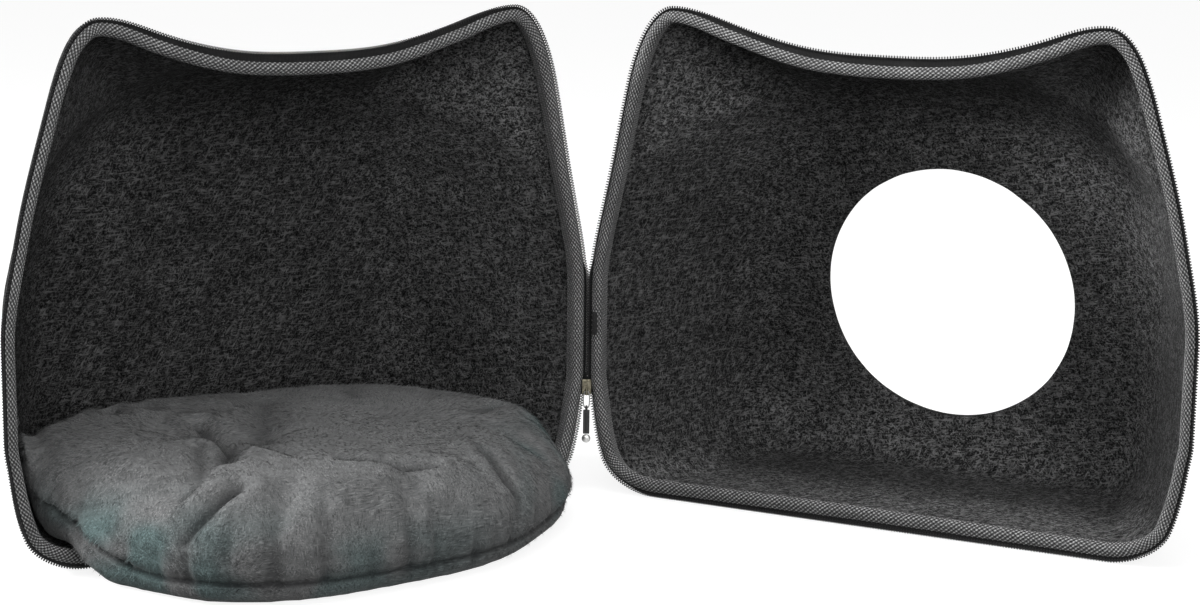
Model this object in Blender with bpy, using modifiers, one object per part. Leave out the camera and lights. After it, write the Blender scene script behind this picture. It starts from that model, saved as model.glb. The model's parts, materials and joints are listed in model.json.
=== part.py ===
"""Felt cat cave, unzipped and standing open like a book.

Two moulded felt halves with cat ears stand on their flat bottoms, joined by the short stretch
of zip that is still closed at the spine. The back half holds an oval cushion that laps over its
rim onto the floor. The front half has the round entrance. Both rims are bound with tape and
carry a zip tape with its coil.

Each half is drawn in its own frame: x across (0 in the middle), y depth behind the rim plane,
z up from the floor. Metres, +Z up. The origin ends up under the middle of the whole part.
"""

import math

import bmesh
import bpy
from mathutils import Matrix, Vector

# Stance of the two halves about the upright spine that joins them
BACK_TURN = math.radians(34.2)
FRONT_TURN = math.radians(-26.8)
HALF_WIDTH = 0.210
SPINE_GAP = 0.00015

# Moulded felt. taper: share of its width that a half loses for each metre of depth, at its
# foot and at its top; top_fall: how much the dome sinks for each metre of depth; ear_slope: how
# fast an ear sinks into the dome with depth; the dome is a superellipse. ear_lean: how far the
# ears stand towards the spine, on the spine's side and on the far side.
FELT = 0.0045
FELT_EDGE = 0.0026
BAND_STRAIGHT = 0.0055
SEAM_BAND = 0.0145
TAPER = 1.85
TAPER_TOP = 2.60
TAPER_RISE = (0.120, 0.290)
TOP_FALL = 0.080
TOP_RISE = (0.215, 0.300)
EAR_LEAN = (0.0040, 0.0026)
LEAN_RISE = (0.215, 0.310)
LEAN_REACH = (0.080, 0.150)
EAR_SLOPE = 0.60
EAR_ROUNDING = 0.0050
DOME_FOOT = 0.115
DOME_POWER = 2.5
FACE_CENTRE = 0.1345
FACE_DEPTH = 0.148
FACE_LEAN = 0.162
FACE_BULGE = 0.004
FACE_BULGE_REACH = 0.150
HOLE_RADIUS = 0.0905
WALL_RINGS = 3
SHOULDER_RINGS = 6
DISC_RADII = (0.060, 0.030)

# Right half of the rim's outline, from the middle of the floor edge up to the saddle between
# the ears. heading: direction of travel in degrees; steps: facets up to the next row.
# deep and wide: how far the shoulder reaches up the wall and in over the face;
# felt_in and bound_in: from the coil's edge in to the felt and to the binding;
# near and far: the binding's width on the spine's side and on the far side;
# lean: how far the felt's far side leans in over its seam band.
RIM = (
    # across, up, heading, steps, deep, wide, felt_in, bound_in, near, far, lean
    (0.0000, 0.0000, 0, 5, 0.026, 0.022, 0.0000, 0.0045, 0.0096, 0.0096, 0.0000),
    (0.1580, 0.0000, 0, 5, 0.030, 0.024, 0.0000, 0.0038, 0.0094, 0.0094, 0.0000),
    (0.1990, 0.0240, 70, 3, 0.036, 0.026, 0.0030, 0.0032, 0.0084, 0.0076, 0.0014),
    (0.2078, 0.0650, 82, 2, 0.042, 0.028, 0.0032, 0.0032, 0.0074, 0.0066, 0.0026),
    (0.2100, 0.0820, 90, 2, 0.044, 0.030, 0.0032, 0.0032, 0.0072, 0.0064, 0.0028),
    (0.2100, 0.1420, 90, 3, 0.050, 0.032, 0.0032, 0.0032, 0.0072, 0.0062, 0.0028),
    (0.2000, 0.2040, 102, 3, 0.062, 0.040, 0.0032, 0.0032, 0.0072, 0.0062, 0.0028),
    (0.1800, 0.2850, 105, 2, 0.076, 0.050, 0.0032, 0.0032, 0.0076, 0.0068, 0.0028),
    (0.1700, 0.3140, 114, 4, 0.082, 0.054, 0.0032, 0.0032, 0.0080, 0.0072, 0.0024),
    (0.1460, 0.3370, 178, 3, 0.088, 0.058, 0.0034, 0.0034, 0.0082, 0.0082, 0.0010),
    (0.1020, 0.3265, 198, 3, 0.098, 0.064, 0.0040, 0.0050, 0.0084, 0.0084, 0.0000),
    (0.0480, 0.3140, 187, 2, 0.106, 0.070, 0.0045, 0.0066, 0.0084, 0.0084, 0.0000),
    (0.0000, 0.3120, 180, 0, 0.108, 0.072, 0.0045, 0.0070, 0.0084, 0.0084, 0.0000),
)

# Binding tape folded over the felt's edge, zip tape and zip coil. Depths are from the rim
# plane, negative towards the other half.
FIT = 0.0003
BOUND_RIDGE = -0.0022
BOUND_FRONT = -0.0012
BOUND_EDGE = -0.0002
BOUND_SEAT = 0.0012
BOUND_LEG = 0.0120
BOUND_HEM = 0.0010
LEG_LEAN = 0.94
TAPE_FRONT = 0.0015
TAPE_BACK = 0.0023
TAPE_OUTER = 0.0012
COIL_DEEP = 0.0012
COIL_WIDE = 0.0027

# Dark stitched patch that finishes the zip on the front half's binding
PATCH_SIZE = (0.004, 0.0008, 0.016)
PATCH_PLACE = (-0.2030, -0.0030, 0.118)

# Slider and pull at the lower end of the closed stretch
SLIDER_TOP = 0.0785
SLIDER_TALL = 0.0110
SLIDER_HALF = 0.0035
SLIDER_FACE = -0.0062
SLIDER_CLEAR = 0.0004
SLIDER_BACK = (0.0056, 0.0068)
NECK_HALF = 0.0007
NECK_TALL = 0.0022
LUG_SIZE = (0.0014, 0.0034, 0.0050)
LUG_PLACE = (0.0, -0.0076, 0.0705)
EYE_RADIUS = 0.0010
LINK_WIRE = 0.0005
LINK_HALF_WIDE = 0.0021
LINK_HALF_TALL = 0.0058
PULL_WIDE = 0.0045
PULL_THICK = 0.0015
PULL_LONG = 0.0170
PULL_RIB = 0.0011
KNUCKLE = 0.0032
TIP_RADIUS = 0.0031
TIP_THICK = 0.0026

# Cushion: its plan in the back half's frame, its side profile and its main dents
CUSHION_MIDDLE = (0.0, -0.006)
CUSHION_SPOKES = 60
CUSHION_TALL = 0.068
CUSHION_TILT = (-0.10, 0.04)
# plan radius at each 20 degrees, from +x round by the shell's back
CUSHION_PLAN = (
    0.178, 0.182, 0.176, 0.159, 0.148, 0.149, 0.166, 0.189, 0.190,
    0.183, 0.172, 0.171, 0.156, 0.141, 0.139, 0.144, 0.150, 0.167,
)
# share of the plan, inset from it, height as a share of the full height
CUSHION_SIDE = (
    (0.15, 0.0000, 0.000),
    (0.32, 0.0000, 0.000),
    (0.48, 0.0000, 0.000),
    (0.62, 0.0000, 0.000),
    (0.75, 0.0000, 0.000),
    (0.86, 0.0000, 0.000),
    (1.00, 0.0140, 0.000),
    (1.00, 0.0085, 0.050),
    (1.00, 0.0050, 0.130),
    (1.00, 0.0036, 0.200),
    (1.00, 0.0060, 0.255),
    (1.00, 0.0018, 0.310),
    (1.00, -0.0012, 0.450),
    (1.00, 0.0022, 0.640),
    (1.00, 0.0105, 0.820),
    (1.00, 0.0280, 0.940),
    (0.64, 0.0000, 0.990),
    (0.30, 0.0000, 1.000),
)
INSIDE_FIT = 0.0006
RIM_CLEAR = 0.0012
LAP_BACK = (0.014, 0.044)
LAP_FRONT = (0.006, 0.040)
# across, depth, heading in degrees, half length, half width, deep
CUSHION_DENTS = (
    (-0.058, 0.024, -86, 0.042, 0.013, 0.0115),
    (-0.108, -0.046, 43, 0.044, 0.014, 0.0100),
    (-0.018, 0.052, 65, 0.048, 0.017, 0.0065),
    (0.020, -0.072, -10, 0.036, 0.012, 0.0060),
    (0.118, -0.056, -67, 0.028, 0.013, 0.0055),
    (-0.086, -0.122, 66, 0.026, 0.009, 0.0050),
    (0.004, -0.128, 84, 0.026, 0.009, 0.0050),
    (0.060, -0.106, 104, 0.024, 0.009, 0.0045),
)


def clear_scene():
    """Removes every object and collection that the file opened with."""
    for found in list(bpy.data.objects):
        bpy.data.objects.remove(found)
    for found in list(bpy.data.collections):
        bpy.data.collections.remove(found)


def make_material(name, colour, roughness, metallic=0.0):
    """Gives a Principled material of one colour."""
    material = bpy.data.materials.new(name)
    material.use_nodes = True
    shader = material.node_tree.nodes["Principled BSDF"]
    shader.inputs["Base Color"].default_value = (*colour, 1.0)
    shader.inputs["Roughness"].default_value = roughness
    shader.inputs["Metallic"].default_value = metallic
    return material


def make_node(name, mesh, material, parent, place=(0.0, 0.0, 0.0)):
    """Puts a finished mesh in the part's collection, under the empty that places it."""
    node = bpy.data.objects.new(name, mesh)
    if not mesh.materials:
        mesh.materials.append(material)
    bpy.data.collections[PART].objects.link(node)
    node.parent = parent
    node.location = place
    return node


def make_empty(name, turn, parent=None):
    """Gives an empty at the spine, turned about the upright axis."""
    empty = bpy.data.objects.new(name, None)
    empty.rotation_euler = (0.0, 0.0, turn)
    empty.parent = parent
    bpy.data.collections[PART].objects.link(empty)
    return empty


def finish_mesh(bm, name):
    """Turns a bmesh into a smooth-shaded mesh whose sharp corners stay sharp."""
    bmesh.ops.recalc_face_normals(bm, faces=bm.faces)
    mesh = bpy.data.meshes.new(name)
    bm.to_mesh(mesh)
    bm.free()
    mesh.shade_smooth()
    mesh.set_sharp_from_angle(angle=math.radians(40))
    return mesh


def heading_vector(degrees):
    """Gives the unit direction of a heading in the rim plane."""
    return Vector((math.cos(math.radians(degrees)), math.sin(math.radians(degrees))))


def half_rim():
    """Walks from the floor's middle up to the saddle: (point, RIM columns) at each station."""
    right = []
    for here, there in zip(RIM, RIM[1:]):
        start = Vector(here[:2])
        end = Vector(there[:2])
        pull = (end - start).length / 3.0
        leave = start + heading_vector(here[2]) * pull
        arrive = end - heading_vector(there[2]) * pull
        for step in range(here[3]):
            t = step / here[3]
            blend = (1 - t) ** 3, 3 * t * (1 - t) ** 2, 3 * t * t * (1 - t), t**3
            point = blend[0] * start + blend[1] * leave + blend[2] * arrive + blend[3] * end
            ease = t * t * (3 - 2 * t)
            columns = [a + (b - a) * ease for a, b in zip(here[4:], there[4:])]
            right.append((point, columns))
    return right + [(Vector(RIM[-1][:2]), list(RIM[-1][4:]))]


def side_station(station, side, spine_side):
    """Puts a station on one side (1 or -1): its point, and its columns with one width and lean."""
    point, (deep, wide, felt_in, bound_in, near, far, lean) = station
    reach = smooth_step(point.y, *LEAN_RISE) * smooth_step(point.x, *LEAN_REACH)
    if side == spine_side:
        placed = Vector((side * (point.x + EAR_LEAN[0] * reach), point.y))
        return placed, (deep, wide, felt_in, bound_in, near, 0.0)
    placed = Vector((side * (point.x - EAR_LEAN[1] * reach), point.y))
    return placed, (deep, wide, felt_in, bound_in, far, lean)


def rim_stations(spine_side):
    """Walks once round a half's rim; spine_side is 1 where the spine is on the right, else -1."""
    drawn = half_rim()
    right = [side_station(station, 1, spine_side) for station in drawn]
    left = [side_station(station, -1, spine_side) for station in drawn[-2:0:-1]]
    return right + left


def inset_outline(points, distances):
    """Moves each corner of a closed outline in, so that its sides stay parallel to themselves."""
    moved = []
    for index, point in enumerate(points):
        before = (point - points[index - 1]).normalized()
        after = (points[(index + 1) % len(points)] - point).normalized()
        inward = Vector((-before.y - after.y, before.x + after.x)).normalized()
        mitre = inward.dot(Vector((-before.y, before.x)))
        moved.append(point + inward * distances[index] / mitre)
    return moved


def loft(bm, rings, start=None, end=None):
    """Joins closed rings of equal count with quads; start and end are points to fan to."""
    rows = [[bm.verts.new(point) for point in ring] for ring in rings]
    count = len(rows[0])
    for lower, upper in zip(rows, rows[1:]):
        for index in range(count):
            following = (index + 1) % count
            bm.faces.new((lower[index], lower[following], upper[following], upper[index]))
    for row, middle in ((rows[0][::-1], start), (rows[-1], end)):
        if middle:
            tip = bm.verts.new(middle)
            for index in range(count):
                bm.faces.new((row[index], row[(index + 1) % count], tip))


def dome_radius(direction):
    """Gives the radius of the dome without ears, from the face's centre, above its widest."""
    wide = HALF_WIDTH
    tall = RIM[-1][1] - DOME_FOOT
    low, high = 0.0, 2 * wide
    for _ in range(40):
        radius = (low + high) / 2
        across = abs(direction.x) * radius / wide
        up = max(FACE_CENTRE + direction.y * radius - DOME_FOOT, 0.0) / tall
        if across**DOME_POWER + up**DOME_POWER < 1.0:
            low = radius
        else:
            high = radius
    return low


def face_depth(height, radius):
    """Gives the depth of the moulded face, which leans back towards its foot and bulges."""
    lean = FACE_LEAN * (height - FACE_CENTRE)
    bulge = FACE_BULGE * max(0.0, 1.0 - (radius / FACE_BULGE_REACH) ** 2)
    return FACE_DEPTH - lean + bulge


def ear_left(ear, run):
    """Gives what is left of an ear's height above the dome, run metres behind the seam."""
    if ear < 1e-5:
        return 0.0
    soft = min(EAR_ROUNDING, ear * 0.4)
    fallen = ear - EAR_SLOPE * run
    rounded = (fallen + math.hypot(fallen, soft)) / 2
    return rounded * ear * 2 / (ear + math.hypot(ear, soft))


def shell_path(start, leaned, deep, wide):
    """Follows the felt's outside from its rim, over its seam band, to the entrance's edge."""
    middle = Vector((0.0, FACE_CENTRE))
    spoke = (leaned - middle).normalized()
    reach = (leaned - middle).length
    body = reach
    if leaned.y > DOME_FOOT:
        body = min(reach, dome_radius(spoke))
    ear = reach - body
    foot = middle + spoke * body
    taper = TAPER + (TAPER_TOP - TAPER) * smooth_step(foot.y, *TAPER_RISE)
    fall = TOP_FALL * smooth_step(foot.y, *TOP_RISE)

    def wall(depth):
        run = depth - SEAM_BAND
        return Vector((foot.x * (1.0 - taper * run), foot.y - fall * run))

    back = face_depth(foot.y, FACE_BULGE_REACH)
    for _ in range(4):
        corner = wall(back)
        inward = (corner - middle).normalized()
        edge = (corner - middle).length - wide
        back = face_depth(FACE_CENTRE + inward.y * edge, edge)
    bend = back - deep
    path = [(start, FELT_EDGE), (start, BAND_STRAIGHT), (leaned, SEAM_BAND)]
    band_end = len(path)
    for ring in range(1, WALL_RINGS + 1):
        depth = SEAM_BAND + (bend - SEAM_BAND) * ring / WALL_RINGS
        path.append((wall(depth), depth))
    for ring in range(1, SHOULDER_RINGS + 1):
        t = ring / SHOULDER_RINGS
        share = ((1 - t) ** 2, 2 * t * (1 - t), t * t)
        flat = share[0] * wall(bend) + share[1] * corner + share[2] * (middle + inward * edge)
        path.append((flat, share[0] * bend + (share[1] + share[2]) * back))
    wall_end = len(path)
    for radius in ((edge + HOLE_RADIUS) / 2, HOLE_RADIUS):
        height = FACE_CENTRE + inward.y * radius
        path.append((middle + inward * radius, face_depth(height, radius)))
    for index in range(band_end, wall_end):
        point, depth = path[index]
        path[index] = (point + spoke * ear_left(ear, depth - SEAM_BAND), depth)
    return path


def shell_rings(stations):
    """Lists the felt's outer rings, from the rim's edge back over the wall to the entrance."""
    points = [point for point, _ in stations]
    outline = inset_outline(points, [columns[2] for _, columns in stations])
    leaning = inset_outline(points, [columns[2] + columns[5] for _, columns in stations])
    paths = []
    for start, leaned, (_, columns) in zip(outline, leaning, stations):
        paths.append(shell_path(start, leaned, columns[0], columns[1]))
    rings = []
    for row in zip(*paths):
        rings.append([Vector((point.x, depth, point.y)) for point, depth in row])
    return rings


def disc_rings(hole_ring):
    """Lists the rings that close the back half's face where the front half has its entrance."""
    middle = Vector((0.0, 0.0, FACE_CENTRE))
    rings = []
    for radius in DISC_RADII:
        ring = []
        for corner in hole_ring:
            spoke = corner - middle
            spoke.y = 0.0
            spoke.normalize()
            height = FACE_CENTRE + spoke.z * radius
            ring.append(Vector((spoke.x * radius, face_depth(height, radius), height)))
        rings.append(ring)
    return rings


def make_shell(name, stations, closed, material, parent, place):
    """Moulds one felt half: an open loft that Solidify gives the felt's thickness."""
    rings = shell_rings(stations)
    middle = None
    if closed:
        rings += disc_rings(rings[-1])
        middle = Vector((0.0, face_depth(FACE_CENTRE, 0.0), FACE_CENTRE))
    bm = bmesh.new()
    loft(bm, rings, end=middle)
    shell = make_node(name, finish_mesh(bm, name), material, parent, place)
    wall = shell.modifiers.new("felt thickness", "SOLIDIFY")
    wall.thickness = FELT
    wall.offset = -1.0
    wall.use_even_offset = True
    return shell


def rim_piece(name, stations, section):
    """Sweeps a section round the rim: section(columns) lists (inset, depth) corners."""
    points = [point for point, _ in stations]
    corners = list(zip(*[section(columns) for _, columns in stations]))
    bm = bmesh.new()
    rings = []
    for corner in corners:
        inset = inset_outline(points, [row[0] for row in corner])
        rings.append([Vector((p.x, row[1], p.y)) for p, row in zip(inset, corner)])
    loft(bm, rings + [rings[0]])
    bmesh.ops.remove_doubles(bm, verts=bm.verts, dist=1e-6)
    return finish_mesh(bm, name)


def binding_section(columns):
    """Outlines the tape folded over the felt's edge: a ridged front band and an inner leg."""
    outer = columns[3]
    wide = columns[4]
    inner = columns[2] + FELT + FIT
    foot = inner + columns[5] * LEG_LEAN
    return (
        (outer, BOUND_SEAT),
        (outer, BOUND_EDGE),
        (outer + wide * 0.20, BOUND_FRONT),
        (outer + wide * 0.52, BOUND_RIDGE),
        (outer + wide * 0.86, BOUND_FRONT),
        (outer + wide, BOUND_SEAT),
        (foot + BOUND_HEM, BOUND_LEG),
        (foot, BOUND_LEG),
        (inner, BOUND_SEAT),
    )


def tape_section(columns):
    """Outlines the flat zip tape, sewn in between the binding and the felt's edge."""
    inner = columns[2] + FELT * 0.9
    return (
        (TAPE_OUTER, TAPE_BACK),
        (TAPE_OUTER, TAPE_FRONT),
        (inner, TAPE_FRONT),
        (inner, TAPE_BACK),
    )


def coil_section(columns):
    """Outlines the zip's coil, whose edge is the outermost line of the half."""
    return (
        (0.0, 0.0),
        (COIL_WIDE / 2, -COIL_DEEP),
        (COIL_WIDE, 0.0),
        (COIL_WIDE / 2, COIL_DEEP),
    )


def block(size, place, bevel=0.0):
    """Gives the mesh of a box with eased edges."""
    bm = bmesh.new()
    bmesh.ops.create_cube(bm, size=1.0)
    bmesh.ops.scale(bm, vec=size, verts=bm.verts)
    if bevel:
        bmesh.ops.bevel(
            bm, geom=bm.edges, offset=bevel, segments=1, profile=0.5, affect="EDGES", material=-1
        )
    bmesh.ops.translate(bm, vec=place, verts=bm.verts)
    return finish_mesh(bm, "block")


def prism(outline, low, high):
    """Gives a bmesh of an upright prism on a plan outline."""
    bm = bmesh.new()
    base = [bm.verts.new((x, y, low)) for x, y in outline]
    bm.faces.new(base)
    raised = bmesh.ops.extrude_face_region(bm, geom=bm.faces[:])
    lifted = [item for item in raised["geom"] if isinstance(item, bmesh.types.BMVert)]
    bmesh.ops.translate(bm, vec=(0.0, 0.0, high - low), verts=lifted)
    return bm


def make_helper(name, mesh):
    """Keeps a cutter or an added shape as a hidden wire object."""
    helper = bpy.data.objects.new(name, mesh)
    helper.hide_render = True
    helper.display_type = "WIRE"
    bpy.data.collections[CUTTERS].objects.link(helper)
    return helper


def combine(node, helper, operation):
    """Adds or cuts a helper shape with an exact Boolean."""
    change = node.modifiers.new(f"{operation.lower()} {helper.name}", "BOOLEAN")
    change.operation = operation
    change.object = helper
    change.solver = "EXACT"


def eye_cutter(name, height, depth, parent):
    """Gives a small cutter for an eye that runs across, along x."""
    bm = bmesh.new()
    bmesh.ops.create_cone(
        bm, cap_ends=True, segments=12, radius1=EYE_RADIUS, radius2=EYE_RADIUS, depth=0.008
    )
    bmesh.ops.rotate(bm, matrix=Matrix.Rotation(math.pi / 2, 3, "Y"), verts=bm.verts)
    cutter = make_helper(name, finish_mesh(bm, name))
    cutter.parent = parent
    cutter.location = (0.0, depth, height)
    return cutter


def make_slider(material, spine):
    """Builds the slider: a front plate in the V of the rims, a neck, a back plate and a lug."""
    base = SLIDER_TOP - SLIDER_TALL
    vee = -COIL_DEEP / math.cos(BACK_TURN) - SLIDER_CLEAR
    left = vee - SLIDER_HALF * math.tan(BACK_TURN)
    right = vee + SLIDER_HALF * math.tan(FRONT_TURN)
    plan = (
        (-SLIDER_HALF, left),
        (0.0, vee),
        (SLIDER_HALF, right),
        (SLIDER_HALF * 0.85, SLIDER_FACE),
        (-SLIDER_HALF * 0.85, SLIDER_FACE),
    )
    front = prism(plan, base, SLIDER_TOP)
    upright = [e for e in front.edges if abs(e.verts[0].co.z - e.verts[1].co.z) < 1e-6]
    shoulders = [e for e in upright if e.verts[0].co.y < vee and e.verts[1].co.y < vee]
    bmesh.ops.bevel(
        front, geom=shoulders, offset=0.0005, segments=1, profile=0.5, affect="EDGES", material=-1
    )
    slider = make_node("zip_slider", finish_mesh(front, "zip_slider"), material, spine)
    thick = SLIDER_BACK[1] - SLIDER_BACK[0]
    back_size = (SLIDER_HALF * 1.8, thick, SLIDER_TALL)
    back_place = (0.0, sum(SLIDER_BACK) / 2, base + SLIDER_TALL / 2)
    back = make_helper("slider_back_plate", block(back_size, back_place, 0.0004))
    neck_long = SLIDER_BACK[0] - vee + 0.0016
    neck_size = (NECK_HALF * 2, neck_long, NECK_TALL)
    neck_place = (0.0, vee - 0.0008 + neck_long / 2, base + NECK_TALL / 2 + 0.0001)
    neck = make_helper("slider_neck", block(neck_size, neck_place))
    lug = make_helper("slider_lug", block(LUG_SIZE, LUG_PLACE, 0.0004))
    eye = eye_cutter("slider_eye", LUG_PLACE[2], LUG_PLACE[1] - 0.0002, spine)
    for helper in (back, neck, lug):
        helper.parent = spine
    combine(slider, neck, "UNION")
    combine(slider, back, "UNION")
    combine(slider, lug, "UNION")
    combine(slider, eye, "DIFFERENCE")
    return slider


def make_link(material, spine):
    """Bends the wire link that hangs in the slider's eye and carries the pull."""
    steps = 20
    top = LUG_PLACE[2]
    depth = LUG_PLACE[1] - 0.0002
    wire = bpy.data.curves.new("zip_link", "CURVE")
    wire.dimensions = "3D"
    wire.bevel_depth = LINK_WIRE
    wire.bevel_resolution = 1
    spline = wire.splines.new("POLY")
    spline.points.add(steps - 1)
    spline.use_cyclic_u = True
    for index, point in enumerate(spline.points):
        angle = 2 * math.pi * index / steps
        across = LINK_HALF_WIDE * math.copysign(abs(math.cos(angle)) ** 0.7, math.cos(angle))
        up = LINK_HALF_TALL * math.copysign(abs(math.sin(angle)) ** 0.7, math.sin(angle))
        point.co = (across, depth, top - LINK_HALF_TALL + up, 1.0)
    link = bpy.data.objects.new("zip_link", wire)
    wire.materials.append(material)
    bpy.data.collections[PART].objects.link(link)
    link.parent = spine
    return link


def make_pull(material, metal, spine):
    """Builds the flat ribbed pull bar under the link, and the round metal end below it."""
    depth = LUG_PLACE[1] - 0.0002
    eye_height = LUG_PLACE[2] - 2 * LINK_HALF_TALL
    top = eye_height - KNUCKLE / 2 + 0.0004
    bar_size = (PULL_WIDE, PULL_THICK, PULL_LONG)
    bar_place = (0.0, depth, top - PULL_LONG / 2)
    pull = make_node("zip_pull", block(bar_size, bar_place, 0.0004), material, spine)
    knuckle_size = (PULL_WIDE * 0.36, KNUCKLE, KNUCKLE)
    knuckle = make_helper("pull_knuckle", block(knuckle_size, (0.0, depth, eye_height), 0.0004))
    rib_size = (PULL_RIB, PULL_THICK + 0.0010, PULL_LONG - 0.0030)
    rib = make_helper("pull_rib", block(rib_size, bar_place, 0.0003))
    eye = eye_cutter("pull_eye", eye_height, depth, spine)
    knuckle.parent = spine
    rib.parent = spine
    combine(pull, knuckle, "UNION")
    combine(pull, rib, "UNION")
    combine(pull, eye, "DIFFERENCE")
    bm = bmesh.new()
    bmesh.ops.create_uvsphere(bm, u_segments=14, v_segments=8, radius=TIP_RADIUS)
    bmesh.ops.rotate(bm, matrix=Matrix.Rotation(math.pi / 2, 3, "X"), verts=bm.verts)
    bmesh.ops.scale(bm, vec=(1.0, TIP_THICK / (2 * TIP_RADIUS), 1.0), verts=bm.verts)
    drop = top - PULL_LONG - FIT - TIP_RADIUS
    tip = make_node("zip_pull_end", finish_mesh(bm, "zip_pull_end"), metal, spine)
    tip.location = (0.0, depth, drop)


def plan_radius(angle):
    """Gives the cushion's plan radius at an angle: a closed spline through the table."""
    count = len(CUSHION_PLAN)
    place = angle * count / 360
    index = int(place)
    t = place - index
    before, near, far, after = (CUSHION_PLAN[(index + step) % count] for step in (-1, 0, 1, 2))
    leave = (far - before) / 2
    arrive = (after - near) / 2
    ease = t * t * (3 - 2 * t)
    return near + (far - near) * ease + leave * t * (1 - t) ** 2 - arrive * t * t * (1 - t)


def smooth_step(value, start, end):
    """Eases from 0 at start to 1 at end."""
    share = min(max((value - start) / (end - start), 0.0), 1.0)
    return share * share * (3 - 2 * share)


def side_height(outline, across):
    """Gives how high the lower side of a closed outline is, at a distance from its middle."""
    for here, there in zip(outline, outline[1:]):
        if there.x <= here.x:
            break
        if across < there.x:
            return here.y + (there.y - here.y) * (across - here.x) / (there.x - here.x)
    return here.y


def floor_under(lower, across, depth):
    """Gives what the cushion lies on: the felt, then up over the bound rim, then the floor."""
    felt_line, bound_line = lower
    crest = side_height(bound_line, abs(across)) + RIM_CLEAR
    if depth < 0.0:
        return crest * (1.0 - smooth_step(-depth, *LAP_FRONT))
    reach = abs(across) / (1.0 - TAPER * depth)
    inside = side_height(felt_line, reach) + INSIDE_FIT
    return crest + (inside - crest) * smooth_step(depth, *LAP_BACK)


def dent_depth(across, depth):
    """Sums the creases pressed into the cushion's top at a place."""
    total = 0.0
    for middle, back, heading, half_long, half_wide, deep in CUSHION_DENTS:
        away = Vector((across - middle, depth - back))
        along = away.dot(heading_vector(heading)) / half_long
        beside = away.dot(heading_vector(heading + 90)) / half_wide
        total += deep * math.exp(-along * along - beside * beside)
    return total


def cushion_point(lower, angle, radius, share):
    """Places one point of the cushion's skin."""
    across = CUSHION_MIDDLE[0] + radius * math.cos(math.radians(angle))
    depth = CUSHION_MIDDLE[1] + radius * math.sin(math.radians(angle))
    base = floor_under(lower, across, depth)
    tilt = CUSHION_TILT[0] * across / HALF_WIDTH + CUSHION_TILT[1] * depth / FACE_DEPTH
    tall = CUSHION_TALL * (1.0 + tilt)
    height = base + (tall - base * share) * share
    height -= dent_depth(across, depth) * smooth_step(share, 0.5, 0.95)
    return Vector((across, depth, height))


def make_cushion(stations, material, parent, place):
    """Builds the filled oval cushion: crowned, drawn in at its seam, lapping over the rim."""
    points = [point for point, _ in stations]
    felt_line = inset_outline(points, [columns[2] + FELT for _, columns in stations])
    bound_line = inset_outline(points, [columns[3] + columns[4] for _, columns in stations])
    lower = (felt_line, bound_line)
    rings = []
    for scale, inset, share in CUSHION_SIDE:
        ring = []
        for spoke in range(CUSHION_SPOKES):
            angle = 360 * spoke / CUSHION_SPOKES
            radius = plan_radius(angle) * scale - inset
            ring.append(cushion_point(lower, angle, radius, share))
        rings.append(ring)
    bm = bmesh.new()
    under = cushion_point(lower, 0.0, 0.0, 0.0)
    crown = cushion_point(lower, 0.0, 0.0, 1.0)
    loft(bm, rings, start=under, end=crown)
    return make_node("cushion", finish_mesh(bm, "cushion"), material, parent, place)


def stand_on_origin(root):
    """Moves the whole part so that the middle of its footprint is the origin."""
    bpy.context.view_layer.update()
    graph = bpy.context.evaluated_depsgraph_get()
    corners = []
    for node in bpy.data.collections[PART].objects:
        if node.type == "EMPTY":
            continue
        evaluated = node.evaluated_get(graph)
        mesh = evaluated.to_mesh()
        corners += [evaluated.matrix_world @ vert.co for vert in mesh.vertices]
        evaluated.to_mesh_clear()
    for axis in (0, 1):
        spread = [corner[axis] for corner in corners]
        root.location[axis] = -(min(spread) + max(spread)) / 2
    root.location.z = -min(corner.z for corner in corners)


PART = "felt_cat_cave"
CUTTERS = "cutters"

clear_scene()
for title in (PART, CUTTERS):
    bpy.context.scene.collection.children.link(bpy.data.collections.new(title))

felt = make_material("charcoal felt", (0.030, 0.030, 0.031), 0.95)
woven = make_material("grey binding tape", (0.105, 0.105, 0.108), 0.85)
zip_cloth = make_material("black zip tape", (0.012, 0.012, 0.013), 0.80)
nylon = make_material("black zip coil", (0.010, 0.010, 0.010), 0.45)
plush = make_material("grey plush", (0.125, 0.128, 0.130), 0.90)
dark_metal = make_material("dark slider metal", (0.090, 0.085, 0.070), 0.35, 1.0)
bright_metal = make_material("bright metal", (0.550, 0.550, 0.540), 0.25, 1.0)
black_plastic = make_material("black pull", (0.015, 0.015, 0.015), 0.50)
thread = make_material("dark bartack thread", (0.020, 0.020, 0.021), 0.90)

root = make_empty("spine", 0.0)
back_half = make_empty("back_half", BACK_TURN, root)
front_half = make_empty("front_half", FRONT_TURN, root)
back_place = (-HALF_WIDTH - SPINE_GAP, 0.0, 0.0)
front_place = (HALF_WIDTH + SPINE_GAP, 0.0, 0.0)

rims = (
    ("back", rim_stations(1), back_half, back_place),
    ("front", rim_stations(-1), front_half, front_place),
)
for half, rim, parent, place in rims:
    make_shell(f"{half}_shell", rim, half == "back", felt, parent, place)
    binding = rim_piece(f"{half}_binding", rim, binding_section)
    make_node(f"{half}_binding", binding, woven, parent, place)
    zip_tape = rim_piece(f"{half}_zip_tape", rim, tape_section)
    make_node(f"{half}_zip_tape", zip_tape, zip_cloth, parent, place)
    zip_coil = rim_piece(f"{half}_zip_coil", rim, coil_section)
    make_node(f"{half}_zip_coil", zip_coil, nylon, parent, place)
patch = block(PATCH_SIZE, PATCH_PLACE, 0.0002)
make_node("zip_end_patch", patch, thread, front_half, front_place)
make_slider(dark_metal, root)
make_link(bright_metal, root)
make_pull(black_plastic, bright_metal, root)
make_cushion(rims[0][1], plush, back_half, back_place)
stand_on_origin(root)
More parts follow.
